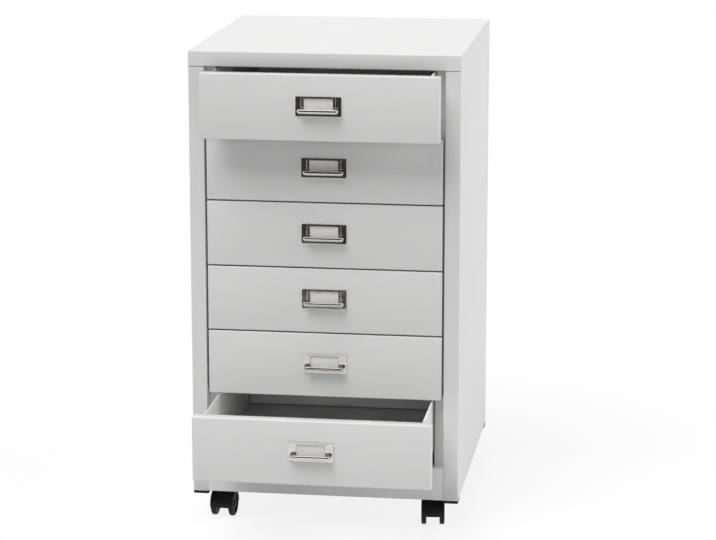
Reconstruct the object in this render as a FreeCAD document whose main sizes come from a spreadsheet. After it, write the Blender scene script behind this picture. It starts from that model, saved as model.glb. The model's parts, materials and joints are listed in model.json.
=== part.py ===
import FreeCAD, Part
import os
import re
import Sketcher

# Office drawer cabinet: a folded steel carcass with six drawers, on four twin-wheel casters.
# X runs across the cabinet, -Y is the front and Z = 0 is the floor. The top drawer and the
# bottom drawer stand partly open, and the origin is the middle of the whole footprint.

# Driving dimensions, in millimetres and degrees
SIZES = {
    # Carcass
    "width": 390,
    "depth": 430,
    "carcass_height": 650,
    "steel": 1.0,
    "top_lip": 22.5,
    "rear_lip": 12,
    "fold": 12,
    "post_width": 22,
    "stop_setback": 2,
    "plinth_height": 48,
    "plinth_flange": 20,
    "base_raise": 6,
    "seat_gap": 0.2,
    "foot_height": 4,
    "foot_depth": 26,
    # Drawer fronts and trays
    "open_top": 48,
    "open_bottom": 128,
    "front_gap": 2.1,
    "bottom_gap": 6.4,
    "side_gap": 3,
    "front_return": 18,
    "tray_steel": 0.8,
    "tray_inset": 13,
    "tray_raise": 13,
    "tray_lap": 2,
    "hem": 2,
    "rear_space": 58,
    # Rails on the carcass and glides on the trays
    "rail_height": 20,
    "rail_ledge": 12,
    "rail_clear": 3,
    "slide_gap": 0.3,
    "glide_gap": 1.5,
    "glide_length": 50,
    "stop_gap": 0.5,
    "upright_gap": 2,
    "upright_width": 30,
    # Label-holder pull
    "pull_width": 65,
    "pull_height": 28,
    "pull_reach": 14,
    "pull_lift": 3,
    "plate_thick": 1.8,
    "plate_corner": 1.5,
    "window_width": 41,
    "window_height": 17,
    "window_margin": 3.5,
    "frame_border": 4.5,
    "frame_edge": 1.6,
    "frame_raise": 1,
    "pocket_depth": 0.9,
    "card_lap": 1.4,
    "card_thick": 0.6,
    "scoop_width": 57,
    "scoop_low": 5.5,
    "scoop_height": 7,
    "scoop_taper": 3.5,
    "scoop_corner": 6,
    "scoop_wall": 1.2,
    "tab_spacing": 54,
    "tab_width": 6,
    "tab_thick": 1,
    "tab_bend": 4,
    # Casters
    "caster_side": 41,
    "caster_front": 46,
    "caster_back": 50,
    "swivel_front_left": -4,
    "swivel_front_right": 6,
    "swivel_back_left": -24,
    "swivel_back_right": -35,
    "wheel_radius": 19,
    "wheel_width": 7.4,
    "wheel_round": 2.5,
    "wheel_recess": 2,
    "recess_inner": 6,
    "recess_outer": 14,
    "wheel_clear": 0.7,
    "wheel_gap": 0.4,
    "trail": 16,
    "hood_wall": 1.5,
    "hood_gap": 0.8,
    "web_width": 18.4,
    "web_radius": 9,
    "boss_radius": 9,
    "pin_radius": 4,
    "pin_length": 25,
    "axle_radius": 2.5,
    "axle_inset": 1,
    "run_gap": 0.05,
    "plate_side": 40,
    "plate_steel": 2,
    "plate_holes": 28,
    # Screws
    "screw_radius": 1.75,
    "screw_head": 3.4,
    "screw_head_height": 1.8,
    "screw_length": 7,
    "screw_gap": 0.1,
}

DRAWERS = 6
BACK_SCREWS = 4
CORNERS = ("front_left", "front_right", "back_left", "back_right")
SPAN = 1000
OVERCUT = 1

# Levels and planes that several pieces share, as formulas over the sizes
FLOOR_GAP = "(2 * wheel_radius + wheel_clear + hood_wall + hood_gap + foot_height)"
TOP = f"({FLOOR_GAP} + carcass_height)"
LIP_BOTTOM = f"({TOP} - top_lip)"
REAR_LIP_BOTTOM = f"({TOP} - rear_lip)"
BASE = f"({FLOOR_GAP} + base_raise)"
HALF = "(width / 2)"
SKIN = "(width / 2 - steel)"
POST = "(width / 2 - post_width)"
FRONT = "((open_bottom + pull_reach - depth - screw_head_height) / 2)"
BACK = f"({FRONT} + depth)"
FRONT_HALF = f"({POST} - side_gap)"
FRONT_HEIGHT = (
    "((carcass_height - top_lip - plinth_height - bottom_gap"
    f" - {DRAWERS} * front_gap) / {DRAWERS})"
)
TRAY_HALF = f"({FRONT_HALF} - tray_inset)"
TRAY_TOP = f"({FRONT_HEIGHT} - steel)"
TRAY_START = "(front_return - tray_lap)"
TRAY_END = "(depth - 2 * steel - rear_space)"
RAIL_INNER = f"({TRAY_HALF} + rail_clear)"
RAIL_RAISE = "(tray_raise - slide_gap - steel)"
POST_DEPTH = "(front_return + stop_setback + steel)"
UPRIGHT = f"({FRONT} + {TRAY_END} + upright_gap)"
PULL_HEIGHT = f"({FRONT_HEIGHT} / 2 + pull_lift)"
FRAME_FACE = "(plate_thick + frame_raise)"
WINDOW_TOP = "(pull_height / 2 - window_margin)"
WINDOW_BOTTOM = f"({WINDOW_TOP} - window_height)"
SCOOP_BOTTOM = "(scoop_low - pull_height / 2)"
SCOOP_TOP = f"({SCOOP_BOTTOM} + scoop_height)"
PLATE_UNDER = f"({BASE} - plate_steel)"
BOSS_TOP = f"({PLATE_UNDER} - wheel_gap)"
WEB_HALF = "(web_width / 2)"
WHEEL_INNER = f"({WEB_HALF} + wheel_gap)"
HOOD_HALF = f"({WHEEL_INNER} + wheel_width)"
WHEEL_ROOM = "(wheel_radius + wheel_clear)"
HOOD_RADIUS = f"({WHEEL_ROOM} + hood_wall)"

doc = FreeCAD.newDocument("drawer_cabinet")
table = doc.addObject("Spreadsheet::Sheet", "Sizes")
for row, (name, value) in enumerate(SIZES.items(), start=1):
    table.set(f"A{row}", name)
    table.set(f"B{row}", str(value))
    table.setAlias(f"B{row}", name)
doc.recompute()

nodes = []


def formula(text):
    """The formula with each size's name pointing at its cell of the sheet."""
    def cell(word):
        return f"Sizes.{word.group()}" if word.group() in SIZES else word.group()
    return re.sub(r"[a-z_]+", cell, str(text))


def bind(item, **formulas):
    """Bind properties of an object to formulas."""
    for name, text in formulas.items():
        item.setExpression(name, formula(text))
    return item


def place(item, x=0, y=0, z=0, angle=0):
    """Bind the place of an object, and its turn about the vertical."""
    for axis, text in (("x", x), ("y", y), ("z", z)):
        item.setExpression(f"Placement.Base.{axis}", formula(text))
    if angle:
        item.setExpression("Placement.Rotation.Angle", formula(angle))
    return item


def node(name, item):
    """Name a finished sub-part."""
    item.Label = name
    nodes.append(item)
    return item


def box(x, y, z):
    """A block between two formulas along each axis."""
    block = doc.addObject("Part::Box", "block")
    bind(block, Length=f"{x[1]} - ({x[0]})", Width=f"{y[1]} - ({y[0]})", Height=f"{z[1]} - ({z[0]})")
    return place(block, x[0], y[0], z[0])


def rod(axis, radius, x, y, z):
    """A cylinder along one axis, where the span is a pair of formulas."""
    turns = {"x": ((0, 1, 0), 90), "y": ((1, 0, 0), -90), "z": ((0, 0, 1), 0)}
    spans = {"x": x, "y": y, "z": z}
    low, high = spans[axis]
    spans[axis] = low
    cylinder = doc.addObject("Part::Cylinder", "rod")
    turn, angle = turns[axis]
    cylinder.Placement.Rotation = FreeCAD.Rotation(FreeCAD.Vector(*turn), angle)
    bind(cylinder, Radius=radius, Height=f"{high} - ({low})")
    return place(cylinder, **spans)


def fuse(*items):
    """One solid made of touching pieces."""
    joined = doc.addObject("Part::MultiFuse", "joined")
    joined.Shapes = items
    joined.Refine = True
    return joined


def cut(base, *tools):
    """The base with the tools taken out of it."""
    remainder = doc.addObject("Part::Cut", "remainder")
    remainder.Base = base
    remainder.Tool = tools[0] if len(tools) == 1 else fuse(*tools)
    remainder.Refine = True
    return remainder


def group(*items):
    """Separate solids kept together."""
    together = doc.addObject("Part::Compound", "group")
    together.Links = items
    return together


def round_edges(item, radius, chosen):
    """The item with the edges that chosen() picks rounded to a size of the sheet."""
    doc.recompute()
    size = table.get(radius)
    rounded = doc.addObject("Part::Fillet", "rounded")
    rounded.Base = item
    picked = [number for number, edge in enumerate(item.Shape.Edges, start=1) if chosen(edge)]
    rounded.Edges = [(number, size, size) for number in picked]
    return rounded


def across(side, near, far):
    """A span of X on one side of the middle."""
    return (near, far) if side == "right" else (f"-({far})", f"-({near})")


def both(reach):
    """A span of X that is centred on the middle."""
    return (f"-({reach})", reach)


def behind(start, end):
    """A span of Y measured back from the carcass front."""
    return (f"{FRONT} + ({start})", f"{FRONT} + ({end})")


# Carcass panels

def back_screw_places():
    """Middle of each back screw, as X and Z formulas."""
    for sign in ("-", ""):
        for step in range(BACK_SCREWS):
            share = (step + 0.5) / BACK_SCREWS
            yield f"{sign}({HALF} - fold / 2)", f"{FLOOR_GAP} + (carcass_height - rear_lip) * {share}"


def back_screw_holes(places):
    """Clearance holes for the back screws."""
    span = (f"{BACK} - screw_length", f"{BACK} + screw_head_height")
    return [rod("y", "screw_radius + screw_gap", x, span, z) for x, z in places]


def side_panel(side):
    """One sheet folded into a front post, a rear flange and a top flange, with a stop strip welded in."""
    level = (FLOOR_GAP, f"{TOP} - steel")
    skin = box(across(side, SKIN, HALF), behind("steel", "depth - steel"), level)
    post_face = box(across(side, POST, HALF), behind("0", "steel"), (FLOOR_GAP, LIP_BOTTOM))
    post_return = box(across(side, POST, f"{POST} + steel"), behind("steel", POST_DEPTH), level)
    stop_strip = box(
        across(side, RAIL_INNER, POST),
        behind(f"{POST_DEPTH} - steel", POST_DEPTH),
        (f"{FLOOR_GAP} + plinth_height", f"{TOP} - 2 * steel"),
    )
    top_flange = box(
        across(side, f"{HALF} - fold", HALF),
        behind("steel", "depth - steel"),
        (f"{TOP} - 2 * steel", f"{TOP} - steel"),
    )
    rear_flange = box(
        across(side, f"{HALF} - fold", HALF),
        behind("depth - steel", "depth"),
        (FLOOR_GAP, REAR_LIP_BOTTOM),
    )
    sign = "" if side == "right" else "-"
    places = [(x, z) for x, z in back_screw_places() if x.startswith("-") == (sign == "-")]
    panel = fuse(skin, post_face, post_return, top_flange, rear_flange)
    node(f"{side}_side_panel", group(cut(panel, *back_screw_holes(places)), stop_strip))


def top_panel():
    """Sheet with a deep hemmed lip along the front and a short lip along the back."""
    deck = box(both(HALF), behind("0", "depth"), (f"{TOP} - steel", TOP))
    lip = box(both(HALF), behind("0", "steel"), (LIP_BOTTOM, TOP))
    hem = box(both(f"{POST} - seat_gap"), behind("0", "fold"), (LIP_BOTTOM, f"{LIP_BOTTOM} + steel"))
    rear_lip = box(both(HALF), behind("depth - steel", "depth"), (REAR_LIP_BOTTOM, TOP))
    node("top_panel", fuse(deck, lip, hem, rear_lip))


def back_panel():
    """Flat sheet inside the rear flanges."""
    sheet = box(
        both(f"{SKIN} - seat_gap"),
        behind("depth - 2 * steel", "depth - steel"),
        (FLOOR_GAP, f"{TOP} - 2 * steel"),
    )
    node("back_panel", cut(sheet, *back_screw_holes(back_screw_places())))


def base_panel():
    """Floor of the carcass, notched round the front posts, with upturned side and rear edges."""
    notch = f"{POST_DEPTH} + seat_gap"
    rear = "depth - 2 * steel"
    level = (BASE, f"{BASE} + steel")
    edge = (BASE, f"{BASE} + fold")
    wide = box(both(SKIN), behind(notch, rear), level)
    narrow = box(both(f"{POST} - seat_gap"), behind("steel", notch), level)
    left = box(across("left", f"{SKIN} - steel", SKIN), behind(notch, rear), edge)
    right = box(across("right", f"{SKIN} - steel", SKIN), behind(notch, rear), edge)
    back = box(both(SKIN), behind(f"{rear} - steel", rear), edge)
    node("base_panel", cut(fuse(wide, narrow, left, right, back), *caster_screw_holes()))


def plinth_rail():
    """Channel between the posts, open to the rear."""
    bar = box(both(POST), behind("0", "plinth_flange"), (FLOOR_GAP, f"{FLOOR_GAP} + plinth_height"))
    hollow = box(
        both(f"{POST} + {OVERCUT}"),
        behind("steel", f"plinth_flange + {OVERCUT}"),
        (f"{FLOOR_GAP} + steel", f"{FLOOR_GAP} + plinth_height - steel"),
    )
    node("plinth_rail", cut(bar, hollow))


def corner_feet():
    """Plastic caps on the ends of the posts, each with a plug inside the folds."""
    feet = []
    for corner in CORNERS:
        end, side = corner.split("_")
        inside = "steel + seat_gap" if end == "front" else "2 * steel + seat_gap"
        outer = ("0", "foot_depth")
        plug = (inside, "foot_depth - steel")
        if end == "back":
            outer = ("depth - foot_depth", "depth")
            plug = ("depth - foot_depth + steel", f"depth - ({inside})")
        cap = box(across(side, POST, HALF), behind(*outer), (f"{FLOOR_GAP} - foot_height", FLOOR_GAP))
        plug_x = across(side, f"{POST} + steel + seat_gap", f"{SKIN} - seat_gap")
        insert = box(plug_x, behind(*plug), (FLOOR_GAP, BASE))
        feet.append(fuse(cap, insert))
    node("corner_feet", group(*feet))


def rear_uprights():
    """Channels on the side panels that carry the rear ends of the rails."""
    uprights = []
    for side in ("left", "right"):
        level = (f"{BASE} + fold", f"{TOP} - 2 * steel")
        bar = box(across(side, POST, SKIN), (UPRIGHT, f"{UPRIGHT} + upright_width"), level)
        hollow = box(
            across(side, f"{POST} + steel", f"{SKIN} + {OVERCUT}"),
            (f"{UPRIGHT} + steel", f"{UPRIGHT} + upright_width - steel"),
            (f"{level[0]} - {OVERCUT}", f"{level[1]} + {OVERCUT}"),
        )
        uprights.append(cut(bar, hollow))
    node("rear_uprights", group(*uprights))


def drawer_bottom(number):
    """Level of the lower edge of a drawer front, counted from the top."""
    return f"({LIP_BOTTOM} - {number} * ({FRONT_HEIGHT} + front_gap))"


def rails(side):
    """A channel for each drawer behind the stop flange, with a ledge under the tray and a rear stop tab."""
    channels = []
    stop = f"{TRAY_END} + stop_gap"
    end = f"{TRAY_END} + upright_gap + upright_width"
    hollow_x = across(side, f"{RAIL_INNER} - {OVERCUT}", f"{POST} - steel")
    for number in range(1, DRAWERS + 1):
        low = f"({drawer_bottom(number)} + {RAIL_RAISE})"
        inside = (f"{low} + steel", f"{low} + rail_height - steel")
        bar = box(across(side, RAIL_INNER, POST), behind(POST_DEPTH, end), (low, f"{low} + rail_height"))
        run = box(hollow_x, behind(f"{POST_DEPTH} - {OVERCUT}", stop), inside)
        tail = box(hollow_x, behind(f"{stop} + steel", f"{end} + {OVERCUT}"), inside)
        ledge_x = across(side, f"{TRAY_HALF} - rail_ledge", RAIL_INNER)
        ledge = box(ledge_x, behind(POST_DEPTH, end), (low, f"{low} + steel"))
        channels.append(fuse(cut(bar, run, tail), ledge))
    node(f"{side}_rails", group(*channels))


def back_screws():
    """Pan-head screws through the rear flanges and the back panel."""
    screws = []
    for x, z in back_screw_places():
        shank = rod("y", "screw_radius", x, (f"{BACK} - screw_length", BACK), z)
        head = rod("y", "screw_head", x, (BACK, f"{BACK} + screw_head_height"), z)
        screws.append(fuse(shank, head))
    node("back_screws", group(*screws))


# Drawers, modelled from the lower edge of the drawer front

def drawer_front(spot):
    """Folded pan with two slots for the tabs of the pull."""
    pan = box(both(FRONT_HALF), ("0", "front_return"), ("0", FRONT_HEIGHT))
    hollow = box(
        both(f"{FRONT_HALF} - steel"),
        ("steel", f"front_return + {OVERCUT}"),
        ("steel", f"{FRONT_HEIGHT} - steel"),
    )
    slots = []
    for sign in ("-", ""):
        middle = f"{sign}tab_spacing / 2"
        slot = box(
            (f"{middle} - tab_width / 2 - seat_gap", f"{middle} + tab_width / 2 + seat_gap"),
            (f"-{OVERCUT}", "2 * steel"),
            (f"{PULL_HEIGHT} - tab_thick / 2 - seat_gap", f"{PULL_HEIGHT} + tab_thick / 2 + seat_gap"),
        )
        slots.append(slot)
    return place(cut(pan, hollow, *slots), **spot)


def drawer_tray(spot):
    """Open box that laps into the drawer front, with a hem along each side."""
    length = (TRAY_START, TRAY_END)
    shell = box(both(TRAY_HALF), length, ("tray_raise", TRAY_TOP))
    inside = box(
        both(f"{TRAY_HALF} - tray_steel"),
        (f"{TRAY_START} + tray_steel", f"{TRAY_END} - tray_steel"),
        ("tray_raise + tray_steel", f"{TRAY_TOP} + {OVERCUT}"),
    )
    hem_z = (f"{TRAY_TOP} - tray_steel", TRAY_TOP)
    hems = [box(across(side, f"{TRAY_HALF} - hem", TRAY_HALF), length, hem_z) for side in ("left", "right")]
    return place(fuse(cut(shell, inside), *hems), **spot)


def drawer_glides(spot):
    """Shoes on the sides of the tray, at its rear end, that run in the rails."""
    glides = []
    clear = "(steel + slide_gap)"
    low = f"({RAIL_RAISE} + {clear})"
    high = f"({RAIL_RAISE} + rail_height - {clear})"
    start = f"({TRAY_END} - glide_length)"
    reach = f"{POST} - steel - glide_gap"
    for side in ("left", "right"):
        bar = box(across(side, TRAY_HALF, reach), (start, TRAY_END), (low, high))
        hollow = box(
            across(side, f"{TRAY_HALF} + steel", f"{reach} + {OVERCUT}"),
            (f"{start} - {OVERCUT}", f"{TRAY_END} + {OVERCUT}"),
            (f"{low} + steel", f"{high} - steel"),
        )
        glides.append(cut(bar, hollow))
    return place(group(*glides), **spot)


def scoop(reach, bottom, inset):
    """Tapered block with two rounded front corners, inset all round for the inside."""
    wedge = doc.addObject("Part::Wedge", "scoop")
    wedge.Placement.Rotation = FreeCAD.Rotation(FreeCAD.Vector(1, 0, 0), 90)
    half_top = f"scoop_width / 2 - {inset}"
    half_low = f"{half_top} - scoop_taper"
    bind(wedge, Ymin=bottom, Ymax=SCOOP_TOP, Zmin=reach, Z2min=reach)
    bind(wedge, Xmin=f"-({half_low})", Xmax=half_low, X2min=f"-({half_top})", X2max=half_top)
    bind(wedge, Zmax=f"pull_reach - {inset} - scoop_taper", Z2max=f"pull_reach - {inset}")
    doc.recompute()
    middle = wedge.Shape.CenterOfMass

    def front_corner(edge):
        ends = [vertex.Point for vertex in edge.Vertexes]
        return abs(ends[0].z - ends[1].z) > 1 and all(end.y < middle.y for end in ends)

    return round_edges(wedge, "scoop_corner", front_corner)


def drawer_pull(spot):
    """Pressed plate with a raised label frame, a finger scoop and two bent tabs behind."""
    height = ("-pull_height / 2", "pull_height / 2")
    plate = box(both("pull_width / 2"), ("-plate_thick", "0"), height)
    plate = round_edges(plate, "plate_corner", lambda edge: abs(edge.Curve.Direction.y) > 0.5)
    frame = box(
        both("window_width / 2 + frame_border"),
        (f"-{FRAME_FACE}", "0"),
        (f"{WINDOW_BOTTOM} - frame_edge", f"{WINDOW_TOP} + frame_edge"),
    )
    tabs = []
    for sign in ("-", ""):
        span = (f"{sign}tab_spacing / 2 - tab_width / 2", f"{sign}tab_spacing / 2 + tab_width / 2")
        tabs.append(box(span, ("0", "steel + tab_thick"), ("-tab_thick / 2", "tab_thick / 2")))
        tabs.append(box(span, ("steel", "steel + tab_thick"), ("-tab_bend", "tab_thick / 2")))
    body = fuse(plate, frame, scoop("0", SCOOP_BOTTOM, "0"), *tabs)
    inside = scoop(FRAME_FACE, f"{SCOOP_BOTTOM} + scoop_wall", "scoop_wall")
    window = box(both("window_width / 2"), (f"-{FRAME_FACE}", "0"), (WINDOW_BOTTOM, WINDOW_TOP))
    pocket = box(
        both("window_width / 2 + card_lap"),
        ("-pocket_depth", "0"),
        (f"{WINDOW_BOTTOM} - card_lap", f"{WINDOW_TOP} + card_lap"),
    )
    return place(cut(body, inside, window, pocket), **spot)


def label_card(spot):
    """Paper card in the pocket behind the window of the pull."""
    lap = "card_lap - seat_gap"
    card = box(
        both(f"window_width / 2 + {lap}"),
        ("-card_thick", "0"),
        (f"{WINDOW_BOTTOM} - ({lap})", f"{WINDOW_TOP} + {lap}"),
    )
    return place(card, **spot, x=f"-(window_width / 2 + {lap})")


def drawer(number):
    """One drawer, counted from the top, at its place in the cabinet."""
    opened = {1: "open_top", DRAWERS: "open_bottom"}.get(number, "0")
    face = f"{FRONT} - {opened}"
    low = drawer_bottom(number)
    spot = {"y": face, "z": low}
    pull_spot = {"y": face, "z": f"{low} + {PULL_HEIGHT}"}
    node(f"drawer_{number}_front", drawer_front(spot))
    node(f"drawer_{number}_tray", drawer_tray(spot))
    node(f"drawer_{number}_glides", drawer_glides(spot))
    node(f"drawer_{number}_pull", drawer_pull(pull_spot))
    card_low = f"{WINDOW_BOTTOM} - card_lap + seat_gap"
    card_spot = {"y": f"{face} - card_thick", "z": f"{pull_spot['z']} + {card_low}"}
    node(f"drawer_{number}_label_card", label_card(card_spot))


# Casters, modelled about the swivel pin with the axle towards -Y

def pivot(corner):
    """Place of a caster's swivel pin."""
    end, side = corner.split("_")
    x = f"{'-' if side == 'left' else ''}({HALF} - caster_side)"
    y = f"({FRONT} + caster_front)" if end == "front" else f"({BACK} - caster_back)"
    return x, y


def caster_screw_places():
    """Middle of each caster screw, as X and Y formulas."""
    for corner in CORNERS:
        x, y = pivot(corner)
        for across_sign in ("-", "+"):
            for along_sign in ("-", "+"):
                yield f"{x} {across_sign} plate_holes / 2", f"{y} {along_sign} plate_holes / 2"


def caster_screw_holes():
    """Clearance holes for the caster screws."""
    span = (f"{PLATE_UNDER} - {OVERCUT}", f"{BASE} + fold")
    return [rod("z", "screw_radius + screw_gap", x, y, span) for x, y in caster_screw_places()]


def caster_plates():
    """Square top plates under the base panel."""
    holes = caster_screw_holes()
    each = len(holes) // len(CORNERS)
    plates = []
    for number, corner in enumerate(CORNERS):
        x, y = pivot(corner)
        plate = box(
            (f"{x} - plate_side / 2", f"{x} + plate_side / 2"),
            (f"{y} - plate_side / 2", f"{y} + plate_side / 2"),
            (PLATE_UNDER, BASE),
        )
        plates.append(cut(plate, *holes[number * each:(number + 1) * each]))
    node("caster_plates", group(*plates))


def caster_pins():
    """Swivel pins, each a stud welded under its plate."""
    span = (f"{PLATE_UNDER} - pin_length", PLATE_UNDER)
    pins = [rod("z", "pin_radius", *pivot(corner), span) for corner in CORNERS]
    node("caster_pins", group(*pins))


def caster_screws():
    """Pan-head screws from below, through the plates and the base panel."""
    screws = []
    for x, y in caster_screw_places():
        shank = rod("z", "screw_radius", x, y, (PLATE_UNDER, f"{PLATE_UNDER} + screw_length"))
        head = rod("z", "screw_head", x, y, (f"{PLATE_UNDER} - screw_head_height", PLATE_UNDER))
        screws.append(fuse(shank, head))
    node("caster_screws", group(*screws))


def caster_hood():
    """Fender over both wheels on a centre web, with the boss for the swivel pin."""
    fender = rod("x", HOOD_RADIUS, both(HOOD_HALF), "-trail", "wheel_radius")
    below = box(both(SPAN), both(SPAN), (f"-{SPAN}", "wheel_radius"))
    web = rod("x", "web_radius", both(WEB_HALF), "-trail", "wheel_radius")
    boss = rod("z", "boss_radius", "0", "0", ("wheel_radius", BOSS_TOP))
    neck = box(both(WEB_HALF), ("-trail", "0"), ("wheel_radius", "2 * wheel_radius"))
    beyond = f"{HOOD_HALF} + boss_radius"
    room = [
        rod("x", WHEEL_ROOM, across(side, WEB_HALF, beyond), "-trail", "wheel_radius")
        for side in ("left", "right")
    ]
    bore = rod("z", "pin_radius + run_gap", "0", "0", (f"{PLATE_UNDER} - pin_length - wheel_gap", BASE))
    axle_hole = rod("x", "axle_radius + run_gap / 2", both(HOOD_HALF), "-trail", "wheel_radius")
    return cut(fuse(cut(fender, below), web, boss, neck), *room, bore, axle_hole)


def caster_axle():
    """Plain pin through the web, which the wheels snap onto."""
    pin = rod("x", "axle_radius", both(f"{HOOD_HALF} - axle_inset"), "-trail", "wheel_radius")
    return group(pin)


def caster_wheel(side):
    """Turned wheel with a rounded tread and a ring recess in its outer face."""
    sign = "" if side == "right" else "-"
    inner = WHEEL_INNER
    floor = f"{HOOD_HALF} - wheel_recess"
    hub = "axle_radius + run_gap"
    corners = (
        (inner, hub),
        (inner, "wheel_radius"),
        (HOOD_HALF, "wheel_radius"),
        (HOOD_HALF, "recess_outer"),
        (floor, "recess_outer"),
        (floor, "recess_inner"),
        (HOOD_HALF, "recess_inner"),
        (HOOD_HALF, hub),
    )
    body = doc.addObject("PartDesign::Body", "wheel")
    sketch = body.newObject("Sketcher::SketchObject", "wheel_section")
    plane = [item for item in body.Origin.OriginFeatures if item.Role == "XY_Plane"][0]
    sketch.AttachmentSupport = [(plane, "")]
    sketch.MapMode = "FlatFace"
    outline(sketch, [(f"{sign}({x})", y) for x, y in corners])
    turned = body.newObject("PartDesign::Revolution", "turned")
    turned.Profile = sketch
    turned.ReferenceAxis = (sketch, ["H_Axis"])
    turned.Angle = 360
    doc.recompute()
    radius = table.get("wheel_radius")
    rims = [
        f"Edge{number}"
        for number, edge in enumerate(turned.Shape.Edges, start=1)
        if isinstance(edge.Curve, Part.Circle) and abs(edge.Curve.Radius - radius) < table.get("run_gap")
    ]
    tread = body.newObject("PartDesign::Fillet", "tread")
    tread.Base = (turned, rims)
    bind(tread, Radius="wheel_round")
    return body


def outline(sketch, corners):
    """A closed outline whose corners are bound to pairs of formulas."""
    count = len(corners)
    for number in range(count):
        start = FreeCAD.Vector(number + 1, number ** 2, 0)
        end = FreeCAD.Vector(number + 2, (number + 1) ** 2, 0)
        sketch.addGeometry(Part.LineSegment(start, end))
    for number in range(count):
        sketch.addConstraint(Sketcher.Constraint("Coincident", number, 2, (number + 1) % count, 1))
    for number, corner in enumerate(corners):
        for axis, text in zip("XY", corner):
            name = f"{axis.lower()}_{number}"
            index = sketch.addConstraint(Sketcher.Constraint(f"Distance{axis}", -1, 1, number, 1, 1.0))
            sketch.renameConstraint(index, name)
            sketch.setExpression(f"Constraints.{name}", formula(text))


def caster(corner):
    """Hood, axle and wheels of one caster at its swivel angle."""
    x, y = pivot(corner)
    angle = f"swivel_{corner}"
    hub_x = f"{x} + trail * sin({angle})"
    hub_y = f"{y} - trail * cos({angle})"
    node(f"caster_{corner}_hood", place(caster_hood(), x, y, 0, angle))
    node(f"caster_{corner}_axle", place(caster_axle(), x, y, 0, angle))
    for side in ("left", "right"):
        wheel = place(caster_wheel(side), hub_x, hub_y, "wheel_radius", angle)
        node(f"caster_{corner}_{side}_wheel", wheel)


def write_parts():
    """Check every object of the document and write each sub-part."""
    doc.recompute()
    for item in doc.Objects:
        if "Invalid" in item.State or "Error" in item.State:
            raise RuntimeError(f"{item.Name} ({item.Label}) failed")
    for item in nodes:
        if item.Shape.isNull() or not item.Shape.isValid():
            raise RuntimeError(f"{item.Label} has no valid shape")
    os.makedirs("parts", exist_ok=True)
    for item in nodes:
        item.Shape.exportStep(f"parts/{item.Label}.step")


top_panel()
side_panel("left")
side_panel("right")
back_panel()
base_panel()
plinth_rail()
corner_feet()
rear_uprights()
rails("left")
rails("right")
back_screws()
caster_plates()
caster_pins()
caster_screws()
for drawer_number in range(1, DRAWERS + 1):
    drawer(drawer_number)
for caster_corner in CORNERS:
    caster(caster_corner)
write_parts()
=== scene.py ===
import json
import math

import bmesh
import bpy
from mathutils import Matrix, Vector

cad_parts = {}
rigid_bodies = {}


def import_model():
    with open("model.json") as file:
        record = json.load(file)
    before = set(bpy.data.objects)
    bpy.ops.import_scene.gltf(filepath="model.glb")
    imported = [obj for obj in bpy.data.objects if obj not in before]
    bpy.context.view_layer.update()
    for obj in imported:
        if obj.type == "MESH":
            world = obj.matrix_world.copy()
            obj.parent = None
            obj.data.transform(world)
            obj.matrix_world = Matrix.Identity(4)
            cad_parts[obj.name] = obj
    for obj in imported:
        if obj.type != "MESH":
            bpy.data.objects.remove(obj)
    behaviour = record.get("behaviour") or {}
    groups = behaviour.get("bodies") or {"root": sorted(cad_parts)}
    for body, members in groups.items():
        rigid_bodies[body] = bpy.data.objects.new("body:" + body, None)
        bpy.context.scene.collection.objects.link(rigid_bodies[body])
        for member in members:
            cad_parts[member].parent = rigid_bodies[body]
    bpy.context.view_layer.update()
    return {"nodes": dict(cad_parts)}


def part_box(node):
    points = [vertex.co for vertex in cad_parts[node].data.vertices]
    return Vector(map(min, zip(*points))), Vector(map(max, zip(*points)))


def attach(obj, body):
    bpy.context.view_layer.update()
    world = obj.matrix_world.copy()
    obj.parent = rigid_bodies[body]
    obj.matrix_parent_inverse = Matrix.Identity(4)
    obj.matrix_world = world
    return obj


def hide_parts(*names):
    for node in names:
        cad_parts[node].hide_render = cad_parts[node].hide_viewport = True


for leftover in list(bpy.data.objects):
    bpy.data.objects.remove(leftover)

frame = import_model()

# Office drawer cabinet: white powder-coated steel, six drawers with plated label pulls, black casters.
# Sizes are in metres, written as millimetres times MM.
MM = 0.001
STEEL = 1.0 * MM
BEND = 1.4 * MM
BEND_STEPS = 4
EDGE_ROUND = 0.4 * MM

DRAWERS = range(1, 7)
SIDES = {"left": -1, "right": 1}
CORNERS = ("front_left", "front_right", "back_left", "back_right")


# Mesh helpers

def finish_mesh(name, work, smooth_angle=35):
    """Turn a bmesh into a mesh with outward normals, smooth apart from its sharp edges."""
    bmesh.ops.recalc_face_normals(work, faces=work.faces)
    for face in work.faces:
        face.smooth = True
    limit = math.radians(smooth_angle)
    for edge in work.edges:
        if len(edge.link_faces) == 2:
            edge.smooth = edge.calc_face_angle() < limit
    mesh = bpy.data.meshes.new(name)
    work.to_mesh(mesh)
    work.free()
    return mesh


def strip(work, rings, closed):
    """Join rings of points, each a closed loop, by quads. A closed strip joins the last ring to the first."""
    loops = [[work.verts.new(point) for point in ring] for ring in rings]
    pairs = list(zip(loops, loops[1:]))
    if closed:
        pairs.append((loops[-1], loops[0]))
    for one, other in pairs:
        for i in range(len(one)):
            j = (i + 1) % len(one)
            work.faces.new((one[i], one[j], other[j], other[i]))
    return loops


def capped_strip(work, rings):
    """An open strip of rings with a face over each end."""
    loops = strip(work, rings, closed=False)
    work.faces.new(loops[0])
    work.faces.new(loops[-1])


def block(work, low, high):
    """Add a closed box between two corners."""
    low, high = Vector(low), Vector(high)
    made = bmesh.ops.create_cube(work, size=1)["verts"]
    scale = Matrix.Diagonal((high - low).to_4d())
    scale[3][3] = 1
    bmesh.ops.transform(work, verts=made, matrix=Matrix.Translation((low + high) / 2) @ scale)


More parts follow.
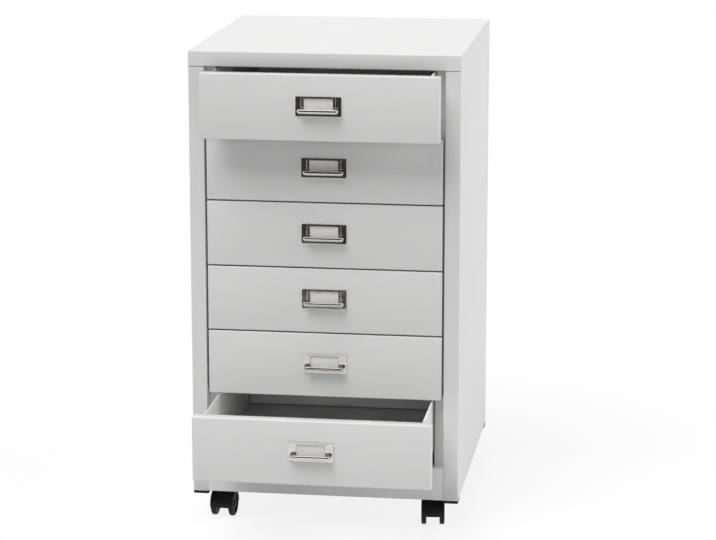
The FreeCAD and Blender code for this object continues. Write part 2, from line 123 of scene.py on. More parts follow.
def lathe(work, profile, to_space, sides):
    """Turn a profile of (radius, place) points about an axis. The first and last points lie on the axis."""
    turns = [math.tau * side / sides for side in range(sides)]
    rings = []
    for radius, place in profile[1:-1]:
        rings.append([to_space(radius * math.cos(t), radius * math.sin(t), place) for t in turns])
    loops = strip(work, rings, closed=False)
    for loop, (_, place) in ((loops[0], profile[0]), (loops[-1], profile[-1])):
        pole = work.verts.new(to_space(0, 0, place))
        for i in range(sides):
            work.faces.new((loop[i], loop[(i + 1) % sides], pole))


def rounded_line(corners, radius, steps):
    """Points and left-hand normals along an open line of runs whose corners are arcs."""
    corners = [Vector(corner) for corner in corners]
    points, normals = [], []

    def normal_of(direction):
        return Vector((-direction.y, direction.x))

    def put(point, normal):
        points.append(point)
        normals.append(normal)

    first = (corners[1] - corners[0]).normalized()
    put(corners[0], normal_of(first))
    for before, corner, after in zip(corners, corners[1:], corners[2:]):
        arriving = (corner - before).normalized()
        leaving = (after - corner).normalized()
        turn = arriving.angle_signed(leaving)
        reach = radius * math.tan(abs(turn) / 2)
        start = corner - arriving * reach
        side = -1 if turn > 0 else 1
        centre = start + normal_of(arriving) * radius * side
        for step in range(steps + 1):
            angle = -turn * step / steps
            spoke = Matrix.Rotation(angle, 2) @ (start - centre)
            heading = Matrix.Rotation(angle, 2) @ arriving
            put(centre + spoke, normal_of(heading))
    last = (corners[-1] - corners[-2]).normalized()
    put(corners[-1], normal_of(last))
    return points, normals


def sheet_rows(start, end, round_start=True, round_end=True):
    """Places along a drawn sheet with how much its faces draw in there, which rounds the cut edges."""
    near, trim = 0.3 * EDGE_ROUND, 0.4 * EDGE_ROUND
    rows = [(start, 0), (end, 0)]
    if round_start:
        rows[0:1] = [(start, EDGE_ROUND), (start + near, trim), (start + EDGE_ROUND, 0)]
    if round_end:
        rows[-1:] = [(end - EDGE_ROUND, 0), (end - near, trim), (end, EDGE_ROUND)]
    return rows


def folded_sheet(work, corners, rows, to_space, thick=STEEL, bend=BEND):
    """Add a bent sheet: a line along the middle of the metal, given thickness and drawn along rows."""
    points, normals = rounded_line(corners, bend - thick / 2, BEND_STEPS)
    rings = []
    for place, trim in rows:
        half = thick / 2 - trim
        near = [to_space(p + n * half, place) for p, n in zip(points, normals)]
        far = [to_space(p - n * half, place) for p, n in zip(points, normals)]
        rings.append(near + far[::-1])
    loops = strip(work, rings, closed=False)
    for loop in (loops[0], loops[-1]):
        for i in range(len(points) - 1):
            work.faces.new((loop[i], loop[i + 1], loop[-i - 2], loop[-i - 1]))


def upright_space(point, height):
    """Section in X and Y, drawn along Z."""
    return (point.x, point.y, height)


def cross_space(point, across):
    """Section in Y and Z, drawn along X."""
    return (across, point.x, point.y)


def lengthwise_space(point, along):
    """Section in X and Z, drawn along Y."""
    return (point.x, along, point.y)


# Materials

class Finish:
    """A Principled material whose colour, roughness and bump come from procedural textures."""

    def __init__(self, name):
        self.material = bpy.data.materials.new(name)
        self.material.use_nodes = True
        self.tree = self.material.node_tree
        self.shader = self.tree.nodes["Principled BSDF"]
        self.place = self.add("ShaderNodeTexCoord").outputs["Object"]

    def add(self, kind):
        """A new node of a kind."""
        return self.tree.nodes.new(kind)

    def link(self, source, target):
        """Join an output to an input."""
        self.tree.links.new(source, target)

    def noise(self, scale, detail, roughness=0.5, stretch=None):
        """Cloudy values in the piece's own space, which may be stretched along its axes."""
        texture = self.add("ShaderNodeTexNoise")
        texture.inputs["Scale"].default_value = scale
        texture.inputs["Detail"].default_value = detail
        texture.inputs["Roughness"].default_value = roughness
        place = self.place
        if stretch:
            mapping = self.add("ShaderNodeMapping")
            mapping.inputs["Scale"].default_value = stretch
            self.link(self.place, mapping.inputs["Vector"])
            place = mapping.outputs["Vector"]
        self.link(place, texture.inputs["Vector"])
        return texture.outputs["Fac"]

    def cells(self, scale):
        """A colour of its own for each cell of a random pattern."""
        texture = self.add("ShaderNodeTexVoronoi")
        texture.inputs["Scale"].default_value = scale
        self.link(self.place, texture.inputs["Vector"])
        return texture.outputs["Color"]

    def ramp(self, source, stops):
        """Colours that blend from stop to stop as the source grows."""
        made = self.add("ShaderNodeValToRGB")
        points = made.color_ramp.elements
        while len(points) < len(stops):
            points.new(0.5)
        for point, (position, colour) in zip(points, stops):
            point.position = position
            point.color = (*colour, 1)
        self.link(source, made.inputs["Fac"])
        return made.outputs["Color"]

    def spread(self, source, low, high):
        """The source's values from zero to one, spread from low to high."""
        made = self.add("ShaderNodeMapRange")
        made.inputs["To Min"].default_value = low
        made.inputs["To Max"].default_value = high
        self.link(source, made.inputs["Value"])
        return made.outputs["Result"]

    def bump(self, height, distance, strength, over=None):
        """A relief as high as distance, which may lie over another relief."""
        made = self.add("ShaderNodeBump")
        made.inputs["Distance"].default_value = distance
        made.inputs["Strength"].default_value = strength
        self.link(height, made.inputs["Height"])
        if over:
            self.link(over, made.inputs["Normal"])
        return made.outputs["Normal"]

    def set(self, **sockets):
        """Give the shader's inputs, named with underscores, a value or a texture."""
        for name, value in sockets.items():
            socket = self.shader.inputs[name.replace("_", " ")]
            if isinstance(value, bpy.types.NodeSocket):
                self.link(value, socket)
            else:
                socket.default_value = value


def powder_coat():
    """White powder coat: faint cloudy tone, a fine orange-peel skin and a satin gloss."""
    finish = Finish("powder_coat")
    cloud = finish.noise(scale=5, detail=4)
    peel = finish.noise(scale=620, detail=2)
    grain = finish.noise(scale=2600, detail=1)
    tone = finish.ramp(cloud, [(0.3, (0.785, 0.785, 0.78)), (0.7, (0.802, 0.802, 0.797))])
    skin = finish.bump(peel, distance=0.10 * MM, strength=0.35)
    skin = finish.bump(grain, distance=0.03 * MM, strength=0.3, over=skin)
    finish.set(Base_Color=tone, Roughness=finish.spread(peel, low=0.36, high=0.5), Normal=skin, IOR=1.45)
    return finish.material


def nickel_plate():
    """Bright nickel plating with faint smears and a slightly uneven pressed surface."""
    finish = Finish("nickel_plate")
    smear = finish.noise(scale=90, detail=5, stretch=(1, 1, 3))
    wave = finish.noise(scale=130, detail=1)
    tone = finish.ramp(smear, [(0.3, (0.60, 0.575, 0.55)), (0.7, (0.72, 0.70, 0.675))])
    finish.set(Base_Color=tone, Metallic=1.0, Roughness=finish.spread(smear, low=0.08, high=0.2))
    finish.set(Normal=finish.bump(wave, distance=0.4 * MM, strength=0.12))
    return finish.material


def zinc_plate():
    """Galvanised steel with a spangle of crystals."""
    finish = Finish("zinc_plate")
    spangle = finish.cells(scale=160)
    tone = finish.ramp(spangle, [(0.1, (0.50, 0.51, 0.53)), (0.9, (0.66, 0.67, 0.69))])
    scuff = finish.noise(scale=300, detail=4, stretch=(1, 0.08, 1))
    finish.set(Base_Color=tone, Metallic=1.0, Roughness=finish.spread(scuff, low=0.28, high=0.5))
    finish.set(Normal=finish.bump(scuff, distance=0.08 * MM, strength=0.3))
    return finish.material


def label_paper():
    """Plain card with fine fibres."""
    finish = Finish("label_card_paper")
    fibre = finish.noise(scale=900, detail=5, roughness=0.7, stretch=(0.4, 1, 1.6))
    tone = finish.ramp(fibre, [(0.25, (0.86, 0.86, 0.85)), (0.75, (0.95, 0.95, 0.94))])
    finish.set(Base_Color=tone, Roughness=0.85)
    finish.set(Normal=finish.bump(fibre, distance=0.06 * MM, strength=0.4))
    return finish.material


def black_plastic():
    """Moulded black plastic with a fine spark grain."""
    finish = Finish("moulded_black")
    grain = finish.noise(scale=1500, detail=3)
    cloud = finish.noise(scale=40, detail=3)
    tone = finish.ramp(cloud, [(0.3, (0.006, 0.006, 0.007)), (0.7, (0.010, 0.010, 0.011))])
    finish.set(Base_Color=tone, Roughness=finish.spread(cloud, low=0.42, high=0.58), Specular_IOR_Level=0.25)
    finish.set(Normal=finish.bump(grain, distance=0.08 * MM, strength=0.4))
    return finish.material


def wheel_tread():
    """Hard black wheel with scuffs and a little floor dust."""
    finish = Finish("scuffed_wheel")
    dust = finish.noise(scale=220, detail=6, roughness=0.7)
    clean, worn, dusty = (0.007, 0.007, 0.007), (0.012, 0.012, 0.012), (0.04, 0.039, 0.037)
    tone = finish.ramp(dust, [(0.35, clean), (0.62, worn), (0.8, dusty)])
    finish.set(Base_Color=tone, Roughness=finish.spread(dust, low=0.4, high=0.7), Specular_IOR_Level=0.25)
    finish.set(Normal=finish.bump(dust, distance=0.1 * MM, strength=0.3))
    return finish.material


FINISHES = {
    "white_paint": powder_coat(),
    "bright_plate": nickel_plate(),
    "zinc_plate": zinc_plate(),
    "label_paper": label_paper(),
    "black_plastic": black_plastic(),
    "wheel_tread": wheel_tread(),
}
CAD_EDGE_ROUND = {"black_plastic": 0.5 * MM, "zinc_plate": 0.25 * MM, "wheel_tread": 0.3 * MM}
WELD_REACH = 0.01 * MM


def dress_cad_nodes():
    """Give every CAD node the finish of its slot, and take the sharpness off the small parts' edges."""
    for item in frame["nodes"].values():
        slot = item.material_slots[0]
        name = slot.material.name
        slot.material = FINISHES[name]
        if name in CAD_EDGE_ROUND:
            weld = item.modifiers.new("weld", "WELD")
            weld.merge_threshold = WELD_REACH
            rounding = item.modifiers.new("rounding", "BEVEL")
            rounding.width = CAD_EDGE_ROUND[name]
            rounding.segments = 2
            rounding.limit_method = "ANGLE"
            rounding.angle_limit = math.radians(40)
            rounding.harden_normals = True


dress_cad_nodes()


# Pieces

def add_piece(name, mesh, slot, body, node, place=(0, 0, 0)):
    """Add a mesh in its slot's finish, as a piece that rides on a body and stands for a CAD node."""
    piece = bpy.data.objects.new(name, mesh)
    piece.location = place
    bpy.context.scene.collection.objects.link(piece)
    mesh.materials.append(FINISHES[slot])
    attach(piece, body)
    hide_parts(node)
    return piece


def paint_piece(name, work, body, node):
    """A white painted piece."""
    return add_piece(name, finish_mesh(name, work), "white_paint", body, node)


# Folded panels of the carcass

top_low, top_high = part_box("top_panel")
plinth_low, plinth_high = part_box("plinth_rail")
FRONT, BACK = top_low.y, top_high.y
TOP, LIP_BOTTOM = top_high.z, top_low.z
HALF = top_high.x
FLOOR_GAP, PLINTH_TOP = plinth_low.z, plinth_high.z
POST = plinth_high.x
PLINTH_BACK = plinth_high.y
FLANGE_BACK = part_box("left_rails")[0].y
FLANGE_WIDTH = 14.5 * MM
FOLD = 12 * MM
SEAM = 0.7 * MM
MIDDLE = STEEL / 2


def side_panel(side):
    """Stop flange, post, skin and rear flange in one bent sheet, with the top flange under the deck."""
    sign = SIDES[side]
    skin = HALF - MIDDLE
    inner = sign * (POST + MIDDLE)
    stop_flange = [(sign * (POST - FLANGE_WIDTH), FLANGE_BACK - MIDDLE), (inner, FLANGE_BACK - MIDDLE)]
    post = [(inner, FRONT + MIDDLE), (sign * skin, FRONT + MIDDLE)]
    rear_flange = [(sign * skin, BACK - MIDDLE), (sign * (HALF - FOLD), BACK - MIDDLE)]
    behind_lip = [(sign * skin, FRONT + STEEL)]
    low_return = [(inner, FLANGE_BACK)]
    flange_top = TOP - 2 * STEEL
    plinth_rows = sheet_rows(FLOOR_GAP, PLINTH_TOP, round_end=False)
    work = bmesh.new()
    folded_sheet(work, low_return + post + rear_flange, plinth_rows, upright_space)
    folded_sheet(work, stop_flange + post + rear_flange, [(PLINTH_TOP, 0), (LIP_BOTTOM, 0)], upright_space)
    folded_sheet(work, behind_lip + rear_flange, [(LIP_BOTTOM, 0), (TOP - FOLD, 0)], upright_space)
    upper_skin = behind_lip + [(sign * skin, BACK - STEEL)]
    folded_sheet(work, upper_skin, [(TOP - FOLD, 0), (TOP - STEEL, 0)], upright_space)
    upper_flange = stop_flange + [(inner, FRONT + STEEL)]
    folded_sheet(work, upper_flange, [(LIP_BOTTOM, 0), (flange_top, 0)], upright_space)
    under_deck = TOP - STEEL - MIDDLE
    deck_flange = [(sign * (HALF - FOLD), under_deck), (sign * (HALF - STEEL), under_deck)]
    folded_sheet(work, deck_flange, sheet_rows(FRONT + STEEL, BACK - STEEL), lengthwise_space)
    paint_piece(f"{side}_side_sheet", work, "carcass", f"{side}_side_panel")


def top_panel():
    """Deck with a deep lip along the front, hemmed between the posts, and a short lip along the back."""
    lip_edge = LIP_BOTTOM + SEAM
    hem = [(FRONT + FOLD, lip_edge + MIDDLE), (FRONT + MIDDLE, lip_edge + MIDDLE)]
    plain = [(FRONT + MIDDLE, lip_edge)]
    deck = [(FRONT + MIDDLE, TOP - MIDDLE), (BACK - MIDDLE, TOP - MIDDLE), (BACK - MIDDLE, TOP - FOLD)]
    work = bmesh.new()
    folded_sheet(work, plain + deck, sheet_rows(-HALF, -POST, round_end=False), cross_space)
    folded_sheet(work, hem + deck, [(-POST, 0), (POST, 0)], cross_space)
    folded_sheet(work, plain + deck, sheet_rows(POST, HALF, round_start=False), cross_space)
    paint_piece("top_sheet", work, "carcass", "top_panel")


def plinth_rail():
    """Channel between the posts, open to the rear."""
    section = [
        (PLINTH_BACK, FLOOR_GAP + MIDDLE),
        (FRONT + MIDDLE, FLOOR_GAP + MIDDLE),
        (FRONT + MIDDLE, PLINTH_TOP - MIDDLE),
        (PLINTH_BACK, PLINTH_TOP - MIDDLE),
    ]
    work = bmesh.new()
    folded_sheet(work, section, sheet_rows(-POST, POST), cross_space)
    paint_piece("plinth_sheet", work, "carcass", "plinth_rail")


# Drawers

TRAY_STEEL = 0.8 * MM
TRAY_BEND = 1.2 * MM
TRAY_HEM = 2 * MM
TRAY_JOINT = 1.1 * MM
REAR_RIM = 6 * MM


def front_pan(number):
    """Folded drawer front: a shallow pan with rounded bends, open to the rear."""
    node = f"drawer_{number}_front"
    low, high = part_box(node)
    work = bmesh.new()
    block(work, low, high)
    rear = [face for face in work.faces if face.normal.y > 0.5]
    rear_edges = {edge for face in rear for edge in face.edges}
    bends = [edge for edge in work.edges if edge not in rear_edges]
    bmesh.ops.delete(work, geom=rear, context="FACES_ONLY")
    bmesh.ops.bevel(work, geom=bends, offset=BEND, segments=BEND_STEPS, profile=0.5, affect="EDGES")
    pan = paint_piece(f"drawer_{number}_pan", work, f"drawer_{number}", node)
    skin = pan.modifiers.new("sheet", "SOLIDIFY")
    skin.thickness = STEEL
    skin.offset = -1
    skin.use_even_offset = True


def tray(number):
    """Open drawer box: floor and hemmed sides from one bent sheet, a front wall and a rear wall.

    A joint runs round the rear wall below its rim.
    """
    node = f"drawer_{number}_tray"
    low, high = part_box(node)
    middle = TRAY_STEEL / 2
    half = high.x - middle
    rim = high.z - middle
    floor = low.z + middle
    hem = high.x - TRAY_HEM
    section = [(-hem, rim), (-half, rim), (-half, floor), (half, floor), (half, rim), (hem, rim)]
    work = bmesh.new()
    folded_sheet(work, section, sheet_rows(low.y, high.y), lengthwise_space, TRAY_STEEL, TRAY_BEND)
    inside = high.x - TRAY_STEEL
    joined = inside - TRAY_JOINT
    foot = low.z + TRAY_STEEL
    rear = high.y - TRAY_STEEL
    rim_foot = high.z - REAR_RIM
    block(work, (-inside, low.y, foot), (inside, low.y + TRAY_STEEL, high.z))
    block(work, (-joined, rear, foot + TRAY_JOINT), (joined, high.y, rim_foot))
    block(work, (-inside, rear, rim_foot), (inside, high.y, high.z))
    paint_piece(f"drawer_{number}_box", work, f"drawer_{number}", node)


# Label-holder pulls, modelled about the middle of the plate with the drawer front at Y = 0

PULL_HALF = 32.5 * MM
PULL_TALL = 14 * MM
PULL_REACH = 14 * MM
PLATE_FACE = -1.8 * MM
PLATE_EDGE = 0.2 * MM
PLATE_CORNER = 1.5 * MM
WINDOW_HALF = 20.5 * MM
WINDOW_TALL = 8.5 * MM
WINDOW_MIDDLE = 2 * MM
WINDOW_CORNER = 1.0 * MM
FRAME_FACE = -2.4 * MM
FRAME_HALF = WINDOW_HALF + 4.5 * MM
FRAME_TALL = WINDOW_TALL + 1.6 * MM
FRAME_SLOPE = 0.9 * MM
FRAME_FLATTER = 0.12
POCKET = -0.9 * MM
POCKET_LAP = 1.4 * MM
SCOOP_HALF = 29.5 * MM
SCOOP_CORNER = 5 * MM
SCOOP_INSET = 4.4 * MM
SCOOP_WALL = 0.9 * MM
LIP_MIDDLE = -5.4 * MM
LIP_RISE = 3.2 * MM
LIP_DROP = 4.2 * MM

# Rings of the pressed edges, each with how far it lies across and along Y. The plate's edge is in shares of
# PLATE_EDGE, the frame's slope in shares of its width and step, and the window's edge in millimetres.
EDGE_SHAPE = ((0, 1), (0.3, 0.3), (1, 0), (1.3, 0))
SLOPE_SHAPE = ((-0.2, 0), (0, 0), (0.4, 0.25), (0.7, 0.75), (1, 1), (1.15, 1))
WINDOW_SHAPE = ((0.55, 0), (0.4, 0), (0.1, 0.2), (0, 0.5))


def rounded_rectangle(half_x, half_z, radius, y, middle_z=0):
    """Points round a rectangle with round corners, facing the front."""
    steps = 4
    points = []
    for quarter, (sx, sz) in enumerate(((1, 1), (-1, 1), (-1, -1), (1, -1))):
        for step in range(steps + 1):
            angle = math.radians(90 * (quarter + step / steps))
            x = sx * (half_x - radius) + radius * math.cos(angle)
            z = sz * (half_z - radius) + radius * math.sin(angle)
            points.append(Vector((x, y, middle_z + z)))
    return points


def pull_plate(work):
    """Pressed plate with a raised frame round the label window and a pocket behind it."""

    def plate(shrink, y):
        return rounded_rectangle(PULL_HALF - shrink, PULL_TALL - shrink, PLATE_CORNER, y)

    def border(shrink, y):
        half, tall = FRAME_HALF - shrink, FRAME_TALL - FRAME_FLATTER * shrink
        return rounded_rectangle(half, tall, PLATE_CORNER, y, WINDOW_MIDDLE)

    def window(grow, y):
        half, tall = WINDOW_HALF + grow, WINDOW_TALL + grow
        return rounded_rectangle(half, tall, WINDOW_CORNER + grow, y, WINDOW_MIDDLE)

    step = FRAME_FACE - PLATE_FACE
    rings = [plate(0, 0)]
    rings += [plate(PLATE_EDGE * across, PLATE_FACE + PLATE_EDGE * along) for across, along in EDGE_SHAPE]
    rings += [border(FRAME_SLOPE * across, PLATE_FACE + step * along) for across, along in SLOPE_SHAPE]
    rings += [window(MM * across, FRAME_FACE + MM * along) for across, along in WINDOW_SHAPE]
    rings += [window(0, POCKET), window(POCKET_LAP, POCKET), window(POCKET_LAP, 0)]
    strip(work, rings, closed=True)


def lip_section():
    """Closed ring of (outward, height) points: a lip that rolls inwards above and below its middle."""
    upper_end, lower_end, steps = 48, -90, 15
    outer, inner = [], []
    for step in range(steps + 1):
        turn = math.radians(upper_end + (lower_end - upper_end) * step / steps)
        tall = LIP_RISE if turn > 0 else LIP_DROP
        for arc, wall in ((outer, 0), (inner, SCOOP_WALL)):
            out = (SCOOP_INSET - wall) * math.cos(turn) - SCOOP_INSET
            arc.append((out, LIP_MIDDLE + (tall - wall) * math.sin(turn)))
    return outer + inner[::-1]


def pull_scoop(work):
    """Finger scoop that opens upwards: a rolled wall round a flat floor."""
    root = PLATE_FACE / 2
    left = [(-SCOOP_HALF, root), (-SCOOP_HALF, -PULL_REACH)]
    right = [(SCOOP_HALF, -PULL_REACH), (SCOOP_HALF, root)]
    places, inward = rounded_line(left + right, SCOOP_CORNER, steps=8)
    section = lip_section()
    wall = []
    for place, normal in zip(places, inward):
        wall.append([Vector((*(place - normal * out), height)) for out, height in section])
    capped_strip(work, wall)
    low = LIP_MIDDLE - LIP_DROP
    edge = [place + normal * SCOOP_INSET for place, normal in zip(places, inward)]
    capped_strip(work, [[Vector((*point, height)) for point in edge] for height in (low, low + SCOOP_WALL)])


def pull_tabs(work):
    """Two tabs through the drawer front, bent down behind it."""
    wide, thick, drop, spacing = 3 * MM, 1 * MM, 4 * MM, 27 * MM
    for x in (-spacing, spacing):
        block(work, (x - wide, POCKET, -thick / 2), (x + wide, STEEL + thick, thick / 2))
        block(work, (x - wide, STEEL, -drop), (x + wide, STEEL + thick, -thick / 2))


def pulls():
    """One pull on each drawer front, all from one mesh."""
    work = bmesh.new()
    pull_plate(work)
    pull_scoop(work)
    pull_tabs(work)
    mesh = finish_mesh("label_pull", work, smooth_angle=55)
    for number in DRAWERS:
        node = f"drawer_{number}_pull"
        low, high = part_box(node)
        place = ((low.x + high.x) / 2, low.y + PULL_REACH, (low.z + high.z) / 2)
        name = f"drawer_{number}_label_pull"
        add_piece(name, mesh.copy(), "bright_plate", f"drawer_{number}", node, place)


# Screws

SHANK_RADIUS = 1.75 * MM
SHANK_LENGTH = 7 * MM
SHANK_TIP = 0.6 * SHANK_RADIUS
HEAD_RADIUS = 3.4 * MM
HEAD_HEIGHT = 1.8 * MM
SLOT_LONG = 1.9 * MM
SLOT_WIDE = 0.45 * MM
SLOT_DEEP = 1.1 * MM

# The head's outline as shares of its radius and height
HEAD_SHAPE = ((1, 0), (1, 0.3), (0.93, 0.62), (0.76, 0.86), (0.45, 1), (0, 1))


def loose_object(name, work):
    """An object that is in the scene only while a screw is cut."""
    made = bpy.data.objects.new(name, finish_mesh(name, work))
    bpy.context.scene.collection.objects.link(made)
    return made


def screw_mesh():
    """Pan-head screw with a cross recess, its head towards +Z and its seat at Z = 0."""
    profile = [(0, -SHANK_LENGTH), (SHANK_TIP, -SHANK_LENGTH), (SHANK_RADIUS, SHANK_TIP - SHANK_LENGTH)]
    profile += [(SHANK_RADIUS, 0)]
    profile += [(HEAD_RADIUS * across, HEAD_HEIGHT * up) for across, up in HEAD_SHAPE]
    work = bmesh.new()
    lathe(work, profile, lambda x, y, z: (x, y, z), sides=24)
    body = loose_object("screw_body", work)
    cutters = []
    for x, y in ((SLOT_LONG, SLOT_WIDE), (SLOT_WIDE, SLOT_LONG)):
        work = bmesh.new()
        block(work, (-x, -y, HEAD_HEIGHT - SLOT_DEEP), (x, y, 2 * HEAD_HEIGHT))
        cutters.append(loose_object("screw_slot", work))
    for cutter in cutters:
        recess = body.modifiers.new("recess", "BOOLEAN")
        recess.object = cutter
        recess.solver = "EXACT"
    settled = body.evaluated_get(bpy.context.evaluated_depsgraph_get())
    mesh = bpy.data.meshes.new_from_object(settled)
    for item in (body, *cutters):
        bpy.data.objects.remove(item)
    return mesh


def screw_set(name, node, places, turn):
    """One piece with a screw at each place, all turned the same way."""
    single = screw_mesh()
    work = bmesh.new()
    for place in places:
        before = len(work.verts)
        work.from_mesh(single)
        work.verts.ensure_lookup_table()
        bmesh.ops.transform(work, verts=work.verts[before:], matrix=Matrix.Translation(place) @ turn)
    add_piece(name, finish_mesh(name, work), "zinc_plate", "carcass", node)


def back_screws():
    """Two columns of screws through the back panel's edges."""
    column = 4
    run = TOP - FOLD - FLOOR_GAP
    places = []
    for sign in SIDES.values():
        for step in range(column):
            height = FLOOR_GAP + run * (step + 0.5) / column
            places.append(Vector((sign * (HALF - FOLD / 2), BACK, height)))
    screw_set("back_cross_screws", "back_screws", places, Matrix.Rotation(math.radians(-90), 4, "X"))


# Casters

CASTER_TRAIL = 16 * MM
PLATE_SCREW_REACH = 14 * MM
WHEEL_RADIUS = 19 * MM
HOOD_HALF = 17 * MM
HOOD_INNER = 19.4 * MM
HOOD_OUTER = 21.2 * MM
HOOD_CROWN = 0.7 * MM
HOOD_SHOULDER = 1.3 * MM
HOOD_RIM = 0.3 * MM
WEB_HALF = 9.2 * MM
WEB_RADIUS = 9 * MM
WEB_BACK = 0.8 * CASTER_TRAIL
WEB_TOP = WHEEL_RADIUS + 0.9 * HOOD_INNER
BOSS_RADIUS = 8.4 * MM
BOSS_LOW = WHEEL_RADIUS - 2 * MM
MOULD_EDGE = 0.8 * MM
CASTER_SIDES = 40


def wheel_middle(corner, side):
    """Middle of a wheel's box."""
    low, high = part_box(f"caster_{corner}_{side}_wheel")
    return (low + high) / 2


def caster_place(corner):
    """Frame of a caster: origin on the floor under the axle, X along the axle."""
    left, right = wheel_middle(corner, "left"), wheel_middle(corner, "right")
    hub = (left + right) / 2
    turn = math.atan2(right.y - left.y, right.x - left.x)
    return Matrix.Translation((hub.x, hub.y, 0)) @ Matrix.Rotation(turn, 4, "Z")


def caster_screws():
    """Four screws from below through each caster plate."""
    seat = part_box("caster_plates")[0].z
    steps = (-PLATE_SCREW_REACH, PLATE_SCREW_REACH)
    places = []
    for corner in CORNERS:
        pin = caster_place(corner) @ Vector((0, CASTER_TRAIL, seat))
        places += [pin + Vector((x, y, 0)) for x in steps for y in steps]
    screw_set("caster_cross_screws", "caster_screws", places, Matrix.Rotation(math.pi, 4, "X"))


def hood_section():
    """Closed ring of (along the axle, radius) points: a crowned outside with round shoulders."""
    steps = 12
    outside = []
    for step in range(steps + 1):
        x = (HOOD_HALF - HOOD_SHOULDER) * (2 * step / steps - 1)
        outside.append((x, HOOD_OUTER - HOOD_CROWN * (x / HOOD_HALF) ** 2))
    edge = outside[-1][1]
    bulge = (HOOD_HALF - 0.35 * HOOD_SHOULDER, edge - 0.3 * (edge - HOOD_INNER))
    rim = (HOOD_HALF, HOOD_INNER + HOOD_RIM)
    mirrored = [(-x, radius) for x, radius in (rim, bulge)]
    return mirrored + outside + [bulge, rim, (HOOD_HALF, HOOD_INNER), (-HOOD_HALF, HOOD_INNER)]


def caster_hood(corner):
    """Crowned fender over both wheels, the web between them and the boss round the swivel pin."""
    node = f"caster_{corner}_hood"
    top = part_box(node)[1].z
    work = bmesh.new()
    section = hood_section()
    start, end, steps = -6, 186, 32
    rings = []
    for step in range(steps + 1):
        angle = math.radians(start + (end - start) * step / steps)
        back, up = -math.cos(angle), math.sin(angle)
        rings.append([(x, radius * back, WHEEL_RADIUS + radius * up) for x, radius in section])
    capped_strip(work, rings)
    web = [(0, -WEB_HALF), (WEB_RADIUS - MOULD_EDGE, -WEB_HALF), (WEB_RADIUS, MOULD_EDGE - WEB_HALF)]
    web += [(radius, -x) for radius, x in reversed(web)]
    lathe(work, web, lambda y, z, x: (x, y, WHEEL_RADIUS + z), CASTER_SIDES)
    block(work, (-WEB_HALF, 0, WHEEL_RADIUS), (WEB_HALF, WEB_BACK, WEB_TOP))
    boss = [(0, BOSS_LOW), (BOSS_RADIUS - MOULD_EDGE, BOSS_LOW), (BOSS_RADIUS, BOSS_LOW + MOULD_EDGE)]
    boss += [(BOSS_RADIUS, top - MOULD_EDGE), (BOSS_RADIUS - MOULD_EDGE, top), (0, top)]
    lathe(work, boss, lambda x, y, z: (x, CASTER_TRAIL + y, z), CASTER_SIDES)
    bmesh.ops.transform(work, verts=work.verts, matrix=caster_place(corner))
    name = f"caster_{corner}_fender"
    add_piece(name, finish_mesh(name, work), "black_plastic", f"caster_{corner}", node)


# Stage, light and camera

FLOOR_SIZE = 60
FLOOR_GLOW = 0.85
FLOOR_BOUNCE = 0.50
AMBIENT = 0.03
CARD_WIDE = 5
CARD_TALL = 2.4
CARD_MIDDLE = (-0.3, FRONT - 1.2, 1.2)
CARD_HIDDEN_FROM = ("camera", "diffuse", "shadow", "transmission", "volume_scatter")
KEY_SIDE = (-0.28, -0.38, 0.88)


def grey(level):
    """An opaque grey."""
    return (level, level, level, 1)


def open_ray(tree):
    """One where a ray comes from the camera, a reflection or a clear material, otherwise zero."""
    path = tree.nodes.new("ShaderNodeLightPath")
    total = path.outputs["Is Camera Ray"]
    for name in ("Is Glossy Ray", "Is Transmission Ray"):
        larger = tree.nodes.new("ShaderNodeMath")
        larger.operation = "MAXIMUM"
        tree.links.new(total, larger.inputs[0])
        tree.links.new(path.outputs[name], larger.inputs[1])
        total = larger.outputs["Value"]
    return total


def stage_floor():
    """A pale floor that looks white and keeps the shadow of the object."""
    bpy.ops.mesh.primitive_plane_add(size=FLOOR_SIZE)
    floor = bpy.context.object
    floor.name = "floor"
    material = bpy.data.materials.new("pale_floor")
    material.use_nodes = True
    tree = material.node_tree
    seen = tree.nodes["Principled BSDF"]
    seen.inputs["Base Color"].default_value = grey(1 - FLOOR_GLOW)
    seen.inputs["Roughness"].default_value = 0.9
    seen.inputs["Specular IOR Level"].default_value = 0.0
    seen.inputs["Emission Color"].default_value = grey(1)
    seen.inputs["Emission Strength"].default_value = FLOOR_GLOW
    bounce = tree.nodes.new("ShaderNodeBsdfDiffuse")
    bounce.inputs["Color"].default_value = grey(FLOOR_BOUNCE)
    mix = tree.nodes.new("ShaderNodeMixShader")
    tree.links.new(open_ray(tree), mix.inputs["Fac"])
    tree.links.new(bounce.outputs["BSDF"], mix.inputs[1])
    tree.links.new(seen.outputs["BSDF"], mix.inputs[2])
    tree.links.new(mix.outputs["Shader"], tree.nodes["Material Output"].inputs["Surface"])
    floor.data.materials.append(material)


def dark_card():
    """A dark studio wall in front of the cabinet that only shows in reflections."""
    bpy.ops.mesh.primitive_plane_add(size=1)
    card = bpy.context.object
    card.name = "dark_card"
    card.scale = (CARD_WIDE, CARD_TALL, 1)
    card.rotation_euler = (math.radians(90), 0, 0)
    card.location = CARD_MIDDLE
    for ray in CARD_HIDDEN_FROM:
        setattr(card, f"visible_{ray}", False)
    material = bpy.data.materials.new("dark_wall")
    material.use_nodes = True
    shader = material.node_tree.nodes["Principled BSDF"]
    shader.inputs["Base Color"].default_value = (0.03, 0.028, 0.026, 1)
    shader.inputs["Roughness"].default_value = 0.9
    card.data.materials.append(material)


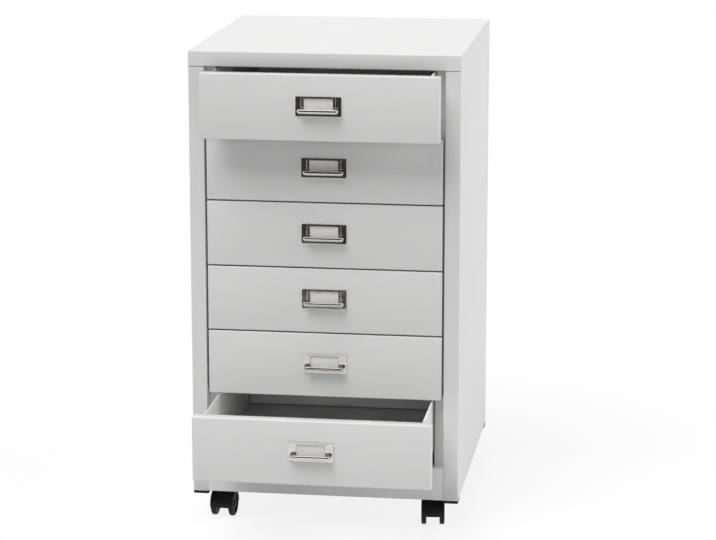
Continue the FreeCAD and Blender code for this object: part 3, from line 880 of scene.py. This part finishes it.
def studio_world():
    """White background with a softer ambient light."""
    world = bpy.data.worlds.new("studio")
    bpy.context.scene.world = world
    world.use_nodes = True
    tree = world.node_tree
    background = tree.nodes["Background"]
    background.inputs["Color"].default_value = grey(1)
    level = tree.nodes.new("ShaderNodeMapRange")
    level.inputs["To Min"].default_value = AMBIENT
    level.inputs["To Max"].default_value = 1.0
    tree.links.new(open_ray(tree), level.inputs["Value"])
    tree.links.new(level.outputs["Result"], background.inputs["Strength"])


def lamp(name, towards, level, softness, glossy=False):
    """A distant lamp as soft as its width in degrees, which shows in reflections only if glossy.

    towards points from the object to the lamp, and level is what a white that faces it shows.
    """
    data = bpy.data.lights.new(name, "SUN")
    data.energy = level * math.pi
    data.angle = math.radians(softness)
    holder = bpy.data.objects.new(name, data)
    holder.rotation_euler = Vector(towards).to_track_quat("Z", "Y").to_euler()
    holder.visible_glossy = glossy
    bpy.context.scene.collection.objects.link(holder)


def photo_camera():
    """The photograph's standpoint: a long lens, turned a little left and tilted down."""
    tilt_down, turn_left = 12.412, 8.086
    data = bpy.data.cameras.new("camera")
    data.lens = 129.9
    data.sensor_width = 36
    data.clip_end = 100
    camera = bpy.data.objects.new("camera", data)
    camera.location = (0.5565, -3.7179, 1.1785)
    camera.rotation_euler = (math.radians(90 - tilt_down), 0, math.radians(turn_left))
    bpy.context.scene.collection.objects.link(camera)
    bpy.context.scene.camera = camera


for side_name in SIDES:
    side_panel(side_name)
top_panel()
plinth_rail()
for drawer_number in DRAWERS:
    front_pan(drawer_number)
    tray(drawer_number)
pulls()
back_screws()
caster_screws()
for caster_corner in CORNERS:
    caster_hood(caster_corner)

stage_floor()
dark_card()
studio_world()
lamp("key", KEY_SIDE, level=0.69, softness=44)
lamp("key_gleam", KEY_SIDE, level=0.11, softness=44, glossy=True)
lamp("front_fill", (0.05, -0.99, 0.06), level=0.20, softness=40, glossy=True)
lamp("side_fill", (0.95, 0.00, 0.30), level=0.61, softness=50)
lamp("rear_fill", (-0.62, 0.77, 0.14), level=0.40, softness=50)
photo_camera()
bpy.context.scene.view_settings.view_transform = "Standard"
